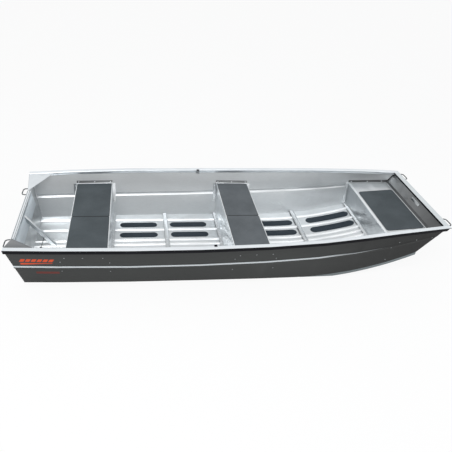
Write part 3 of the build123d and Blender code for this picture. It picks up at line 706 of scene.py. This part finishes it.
class BOAT_OT_hull(bpy.types.Operator):
    """Finish the bottom, the side panels, the transom and the bow plate"""
    bl_idname = "boat.hull"
    bl_label = "Hull"

    def execute(self, context):
        colours = context.scene.boat_colours
        round_off = context.scene.boat_fasteners.edge_round
        dress(["hull_bottom"], bottom_sheet("Pressed bottom", colours))
        dress(both("side_panel"), side_paint("Painted side", colours))
        dress(["transom"],
              plain_sheet("Transom sheet", colours.sheet, waves=0.003, smudges=0.12), round_off)
        dress(["bow_bracket"], plain_sheet("Bracket sheet", colours.dull), round_off)
        dress(["bow_plate"],
              plain_sheet("Bow plate sheet", colours.sheet, plate_painted_shade, waves=0.002), round_off)
        dress(both("transom_gusset"),
              plain_sheet("Gusset sheet", colours.extrusion, gusset_painted_shade), round_off)
        dress(both("chine_runner"), plain_sheet("Strip sheet", colours.runner), round_off)
        dress(both("rub_strip"), soft_black("Rubbing rubber", colours.rubber), round_off)
        return {"FINISHED"}


class BOAT_OT_trim(bpy.types.Operator):
    """Finish the gunwales, the bow rail, the transom's cap and the rowlocks"""
    bl_idname = "boat.trim"
    bl_label = "Gunwales and trim"

    def execute(self, context):
        colours = context.scene.boat_colours
        round_off = context.scene.boat_fasteners.edge_round
        dress(both("gunwale"), satin_extrusion("Gunwale satin", colours.extrusion, colours.rubber),
              round_off)
        dress(["bow_rail"], satin_extrusion("Bow rail satin", colours.rail), round_off)
        dress(["transom_cap"], lined_cap("Lined cap", colours.extrusion), round_off)
        dress(both("rowlock_socket"), satin_extrusion("Socket metal", colours.dull))
        dress(both("rowlock_bush"), soft_black("Bush plastic", colours.plastic))
        dress(["motor_pad"], pad_paint("Motor pad coat", colours.motor_pad), round_off)
        return {"FINISHED"}


class BOAT_OT_inside(bpy.types.Operator):
    """Finish the benches, the deck, the ribs, the knee and the floor strips"""
    bl_idname = "boat.inside"
    bl_label = "Benches, deck and floor"

    def execute(self, context):
        colours = context.scene.boat_colours
        round_off = context.scene.boat_fasteners.edge_round
        dress(["stern_bench", "mid_bench"],
              plain_sheet("Bench sheet", colours.panel, bench_painted_shade, along=(3, 60, 60)), round_off)
        dress(["bow_deck"],
              plain_sheet("Deck sheet", colours.panel, deck_painted_light, along=(3, 60, 60), waves=0.0012),
              round_off)
        dress(["transom_knee"], plain_sheet("Knee sheet", colours.panel), round_off)
        dress(["floor_rib_aft", "floor_rib_fore"],
              plain_sheet("Rib sheet", colours.panel, rib_painted_shade, along=(90, 3, 90)), round_off)
        dress([f"floor_strips_{number}" for number in (1, 2, 3, 4)],
              grit_strip("Grit strip", colours.grip), round_off * 0.5)
        return {"FINISHED"}


class BOAT_OT_pads(bpy.types.Operator):
    """Shape the foam pads of the benches and the deck, with rolled edges and a low crown"""
    bl_idname = "boat.pads"
    bl_label = "Foam pads"

    def execute(self, context):
        colours = context.scene.boat_colours
        for nodes, foam in (
                (both("stern_bench_pad"), foam_sheet("Stern pad foam", colours.pad, True)),
                (both("mid_bench_pad"), foam_sheet("Mid pad foam", colours.light_pad, True)),
                (["bow_deck_pad"], foam_sheet("Deck pad foam", colours.pad))):
            for node in nodes:
                pad = finish_mesh(node + "_foam", self.shape(node), foam, [node])
        return {"FINISHED"}

    def shape(self, node):
        """The solid's outline with a rolled upper edge, and its top raised in three low steps."""
        bm = bmesh.new()
        bm.from_mesh(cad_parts[node].data)
        bmesh.ops.remove_doubles(bm, verts=bm.verts, dist=SAME_POINT)
        bmesh.ops.dissolve_limit(bm, verts=bm.verts, edges=bm.edges, angle_limit=radians(1))
        rolled = 0.0016
        crown = ((0.003, 0.0005), (0.004, 0.0003), (0.004, 0.0001))
        bmesh.ops.bevel(bm, geom=self.top(bm).edges[:], offset=rolled, offset_type="OFFSET",
                        affect="EDGES", segments=4, profile=0.5, material=-1)
        for thickness, depth in crown:
            bmesh.ops.inset_region(bm, faces=[self.top(bm)], thickness=thickness, depth=depth,
                                   use_even_offset=True)
        return bm

    def top(self, bm):
        """The pad's upper face, which is the largest that looks up."""
        bm.normal_update()
        return max(bm.faces, key=lambda face: face.normal.z * face.calc_area())


class BOAT_OT_rivets(bpy.types.Operator):
    """Set rivets through the side panels, the flanges, the feet and the ribs"""
    bl_idname = "boat.rivets"
    bl_label = "Rivets"

    def execute(self, context):
        sizes = context.scene.boat_fasteners
        colours = context.scene.boat_colours
        metal = satin_extrusion("Rivet metal", colours.extrusion)
        beyond_side = 0.9
        before_bow = at(3.7)
        under_benches = 0.3
        outer = Fasteners(sizes)
        for side, sign in SIDES:
            panel = Skin("side_panel_" + side)
            for station, height in SIDE_RIVETS:
                outer.through(panel, (at(station), sign * beyond_side, height), (0, -sign, 0))
        finish_mesh("side_rivets", outer.bm, satin_extrusion("Dull rivet metal", colours.dull))
        inner = Fasteners(sizes)
        for node, rows in FLANGE_RIVETS.items():
            skin = Skin(node)
            for _, sign in SIDES:
                for station, height in rows:
                    inner.through(skin, (at(station), 0, height), (0, sign, 0))
        plate = Skin("bow_plate")
        for wide in (-0.50, 0.50):
            inner.through(plate, (before_bow, wide, 0.497), (1, 0, 0))
        bracket = Skin("bow_bracket")
        for wide in (-0.068, 0.068):
            inner.through(bracket, (before_bow, wide, 0.504), (1, 0, 0), 1.2)
        finish_mesh("flange_rivets", inner.bm, metal)
        floor = Fasteners(sizes)
        for node, station in FOOT_RIVETS:
            skin = Skin(node)
            for wide in RIDGES:
                floor.through(skin, (at(station), wide, under_benches), (0, 0, -1))
        finish_mesh("floor_rivets", floor.bm, metal)
        return {"FINISHED"}


class BOAT_OT_seams(bpy.types.Operator):
    """Weld the corners at the transom, seal those at the bow and hang a dark lip of painted shadow
    under the bow rail
    """
    bl_idname = "boat.seams"
    bl_label = "Welds and seals"

    def execute(self, context):
        sizes = context.scene.boat_fasteners
        colours = context.scene.boat_colours
        welds = bmesh.new()
        seals = bmesh.new()
        for side, sign in SIDES:
            panel = Skin("side_panel_" + side)
            for bm, heading, corner, radius in ((welds, 1, STERN_CORNER, sizes.weld_radius),
                                                (seals, -1, BOW_CORNER, sizes.seal_radius)):
                places = [panel.meet((at(station), 0, height), (0, sign, 0))[0]
                          for station, height in corner]
                weld_run(bm, places, Vector((heading, -sign, 0)).normalized(), radius,
                         sizes.weld_pitch)
        rubber = soft_black("Seal rubber", colours.rubber)
        finish_mesh("corner_welds", welds, weld_metal("Weld metal", colours.sheet))
        finish_mesh("bow_seals", seals, rubber)
        # A dark piece of painted shadow under the bow rail
        finish_mesh("rail_shadow_lip", self.shadow_lip(), rubber, smooth=False)
        return {"FINISHED"}

    def shadow_lip(self):
        """Painted shadow: a dark lip with a thicker foot under the aft edge of the bow rail."""
        low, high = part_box("bow_rail")
        rail_sheet = 0.0042
        top = high.z - rail_sheet
        end = 0.001
        outline = ((0.0, 0.0), (0.003, 0.0), (0.003, 0.012), (0.0055, 0.0145), (0.0055, 0.018),
                   (0.0, 0.018))
        bm = bmesh.new()
        face = bm.faces.new([bm.verts.new((low.x + deep, low.y + end, top - drop))
                             for deep, drop in outline])
        grown = bmesh.ops.extrude_face_region(bm, geom=[face])["geom"]
        bmesh.ops.translate(bm, verts=vertices_of(grown),
                            vec=(0, high.y - low.y - 2 * end, 0))
        bmesh.ops.bevel(bm, geom=bm.edges, offset=0.0006, offset_type="OFFSET", affect="EDGES",
                        segments=2, profile=0.5, material=-1)
        return bm


class BOAT_OT_strips(bpy.types.Operator):
    """Lay the wide non-slip strips of the foremost bay along the bottom's sweep"""
    bl_idname = "boat.strips"
    bl_label = "Foremost floor strips"

    def execute(self, context):
        low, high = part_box("floor_strips_4")
        floor = Skin("hull_bottom")
        half = 0.049
        thick = 0.002
        cuts = 14
        over_floor = 0.4
        straight = high.x - low.x - 2 * half
        bm = bmesh.new()
        for wide in STRIP_LINES:
            strip = bmesh.new()
            middle = Matrix.Translation((low.x + half, 0, 0)) @ Matrix.Rotation(pi / 24, 4, "Z")
            bmesh.ops.create_circle(strip, cap_ends=True, segments=24, radius=half, matrix=middle)
            fore = [vertex for vertex in strip.verts if vertex.co.x > low.x + half]
            bmesh.ops.translate(strip, verts=fore, vec=(straight, 0, 0))
            for cut in range(1, cuts):
                place = low.x + (high.x - low.x) * cut / cuts
                bmesh.ops.bisect_plane(strip, geom=strip.verts[:] + strip.edges[:] + strip.faces[:],
                                       plane_co=(place, 0, 0), plane_no=(1, 0, 0))
            grown = bmesh.ops.extrude_face_region(strip, geom=strip.faces[:])["geom"]
            bmesh.ops.translate(strip, verts=vertices_of(grown), vec=(0, 0, thick))
            for vertex in strip.verts:
                under, _ = floor.meet((vertex.co.x, wide, over_floor), (0, 0, -1))
                vertex.co += Vector((0, wide, under.z))
            mesh = bpy.data.meshes.new("strip")
            strip.to_mesh(mesh)
            strip.free()
            bm.from_mesh(mesh)
            bpy.data.meshes.remove(mesh)
        finish_mesh("floor_strips_4_wide", bm,
                    grit_strip("Foremost grit strip", context.scene.boat_colours.grip),
                    ["floor_strips_4"], smooth=False)
        return {"FINISHED"}


class BOAT_OT_handles(bpy.types.Operator):
    """Bend the round rod handles at the stern and at the bow"""
    bl_idname = "boat.handles"
    bl_label = "Carrying handles"

    def execute(self, context):
        radius = context.scene.boat_fasteners.rod_radius
        metal = satin_extrusion("Drawn rod", context.scene.boat_colours.rod)
        corner = 0.026
        for name, outward in (("stern_handle", -1), ("bow_handle", 1)):
            for node in both(name):
                low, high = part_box(node)
                middle = (low.z + high.z) / 2
                near, far = low.y + radius, high.y - radius
                tip, root = ((low.x + radius, high.x) if outward < 0
                             else (high.x - radius, low.x))
                bm = bmesh.new()
                rod = Rod(bm, (root, near, middle), (outward, 0, 0), radius)
                rod.run(abs(tip - root) - corner)
                rod.bend((tip - outward * corner, near + corner, middle), (0, 0, 1), outward * pi / 2)
                rod.run(far - near - 2 * corner)
                rod.bend((tip - outward * corner, far - corner, middle), (0, 0, 1), outward * pi / 2)
                rod.run(abs(tip - root) - corner)
                rod.end()
                finish_mesh(node + "_rod", bm, metal, [node])
        return {"FINISHED"}


class BOAT_OT_bung(bpy.types.Operator):
    """Turn the drain bung and join it to the knee with its strap"""
    bl_idname = "boat.bung"
    bl_label = "Drain bung"

    def execute(self, context):
        low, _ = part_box("drain_bung")
        foot = Vector((at(0.160), -0.040, low.z))
        on_knee = Vector((at(0.195), -0.0045, 0.116))
        tall = 0.022
        strap_radius = 0.0026
        profile = ((0.0, 0.0), (0.011, 0.0), (0.013, 0.006), (0.0125, 0.012), (0.0095, 0.014),
                   (0.0095, 0.019), (0.0075, tall), (0.0, tall))
        bm = bmesh.new()
        points = [bm.verts.new(foot + Vector((wide, 0, height))) for wide, height in profile]
        line = [bm.edges.new(pair) for pair in zip(points, points[1:])]
        bmesh.ops.spin(bm, geom=points + line, cent=foot, axis=(0, 0, 1), dvec=(0, 0, 0),
                       angle=2 * pi, steps=20, use_merge=True)
        bmesh.ops.remove_doubles(bm, verts=bm.verts, dist=SAME_POINT)
        start = foot + Vector((0.003, 0.003, tall - 0.002))
        reach = on_knee - start
        strap = Rod(bm, start, reach, strap_radius, 8)
        strap.run(reach.length)
        strap.end()
        finish_mesh("drain_bung_turned", bm,
                    soft_black("Bung rubber", context.scene.boat_colours.rubber),
                    ["drain_bung"])
        return {"FINISHED"}


class BOAT_OT_studio(bpy.types.Operator):
    """Set up the pale floor, the soft lamps, the world and the camera"""
    bl_idname = "boat.studio"
    bl_label = "Studio"

    def execute(self, context):
        scene = context.scene
        self.floor(scene, scene.boat_studio)
        self.world(scene, scene.boat_studio)
        self.lamps(scene, scene.boat_studio)
        self.camera(scene, scene.boat_studio)
        scene.view_settings.view_transform = "Standard"
        return {"FINISHED"}

    def floor(self, scene, studio):
        """A pale floor, mostly plain white to the camera and less so in the metal."""
        bm = bmesh.new()
        bmesh.ops.create_grid(bm, x_segments=1, y_segments=1, size=studio.floor_half)
        mesh = bpy.data.meshes.new("studio_floor")
        bm.to_mesh(mesh)
        bm.free()
        floor = bpy.data.objects.new("studio_floor", mesh)
        scene.collection.objects.link(floor)
        pale = Finish("Pale floor")
        lit = pale.add("ShaderNodeBsdfDiffuse", None, {"Color": (0.92, 0.92, 0.92, 1)})
        glow = pale.add("ShaderNodeEmission", None, {"Color": (1, 1, 1, 1), "Strength": 1.0})
        seen = pale.add("ShaderNodeLightPath", out="Is Camera Ray")
        mirrored = pale.add("ShaderNodeLightPath", out="Is Glossy Ray")
        share = seen * 0.90 + mirrored * 0.45
        pale.add_output(pale.add("ShaderNodeMixShader", None, {0: share, 1: lit, 2: glow}))
        mesh.materials.append(pale.material)

    def world(self, scene, studio):
        """A soft sky as light, and plain white where the camera sees it or metal mirrors it."""
        world = bpy.data.worlds.new("Soft sky")
        world.use_nodes = True
        sky = NodeTree(world.node_tree)
        light = sky.add("ShaderNodeBackground", None,
                        {"Color": (0.96, 0.98, 1.0, 1), "Strength": studio.sky})
        shown = sky.add("ShaderNodeBackground", None, {"Color": (1, 1, 1, 1), "Strength": 1.0})
        seen, mirrored, through = (
            sky.add("ShaderNodeLightPath", out=ray)
            for ray in ("Is Camera Ray", "Is Glossy Ray", "Is Transmission Ray"))
        share = seen.most(through).most(mirrored)
        sky.add_output(sky.add("ShaderNodeMixShader", None, {0: share, 1: light, 2: shown}),
                       "ShaderNodeOutputWorld")
        scene.world = world

    def lamps(self, scene, studio):
        """Large discs that face the boat's middle: places, diameters and watts."""
        middle = Vector((0, 0, 0.2))
        for name, place, size, watts in (("Key", (-2.5, -3.5, 5.5), 4.5, 190),
                                         ("Fill", (3.5, -3.0, 4.5), 5.0, 50)):
            lamp = bpy.data.lights.new(name, "AREA")
            lamp.shape = "DISK"
            lamp.size = size
            lamp.energy = watts * studio.lamp_level
            holder = bpy.data.objects.new(name, lamp)
            aim = (middle - Vector(place)).to_track_quat("-Z", "Y")
            holder.matrix_world = Matrix.Translation(place) @ aim.to_matrix().to_4x4()
            scene.collection.objects.link(holder)

    def camera(self, scene, studio):
        """A camera that looks at the target, turned about its line of sight."""
        lens = bpy.data.cameras.new("Camera")
        lens.sensor_width = 36.0
        lens.lens = studio.lens
        lens.clip_end = 200.0
        camera = bpy.data.objects.new("Camera", lens)
        back = Vector((sin(studio.azimuth) * cos(studio.elevation),
                       -cos(studio.azimuth) * cos(studio.elevation), sin(studio.elevation)))
        right = Vector((0, 0, 1)).cross(back).normalized()
        up = back.cross(right)
        tilted_right = right * cos(studio.roll) + up * sin(studio.roll)
        tilted_up = up * cos(studio.roll) - right * sin(studio.roll)
        turn = Matrix((tilted_right, tilted_up, back)).transposed().to_4x4()
        eye = Vector(studio.target) + back * studio.distance
        camera.matrix_world = Matrix.Translation(eye) @ turn
        scene.collection.objects.link(camera)
        scene.camera = camera


class BOAT_PT_sidebar(bpy.types.Panel):
    """The boat's operators, in the order in which they run"""
    bl_label = "Boat"
    bl_idname = "BOAT_PT_sidebar"
    bl_space_type = "VIEW_3D"
    bl_region_type = "UI"
    bl_category = "Boat"

    def draw(self, context):
        for operator in OPERATORS:
            self.layout.operator(operator.bl_idname)


OPERATORS = (BOAT_OT_hull, BOAT_OT_trim, BOAT_OT_inside, BOAT_OT_pads, BOAT_OT_strips,
             BOAT_OT_rivets, BOAT_OT_seams, BOAT_OT_handles, BOAT_OT_bung, BOAT_OT_studio)
GROUPS = (("boat_colours", BoatColours), ("boat_fasteners", BoatFasteners),
          ("boat_studio", BoatStudio))


def register():
    for name, group in GROUPS:
        bpy.utils.register_class(group)
        setattr(bpy.types.Scene, name, PointerProperty(type=group))
    for item in OPERATORS + (BOAT_PT_sidebar,):
        bpy.utils.register_class(item)


def unregister():
    for item in reversed(OPERATORS + (BOAT_PT_sidebar,)):
        bpy.utils.unregister_class(item)
    for name, group in reversed(GROUPS):
        delattr(bpy.types.Scene, name)
        bpy.utils.unregister_class(group)


def main():
    register()
    bpy.ops.boat.hull()
    bpy.ops.boat.trim()
    bpy.ops.boat.inside()
    bpy.ops.boat.pads()
    bpy.ops.boat.strips()
    bpy.ops.boat.rivets()
    bpy.ops.boat.seams()
    bpy.ops.boat.handles()
    bpy.ops.boat.bung()
    bpy.ops.boat.studio()


if __name__ == "__main__":
    main()
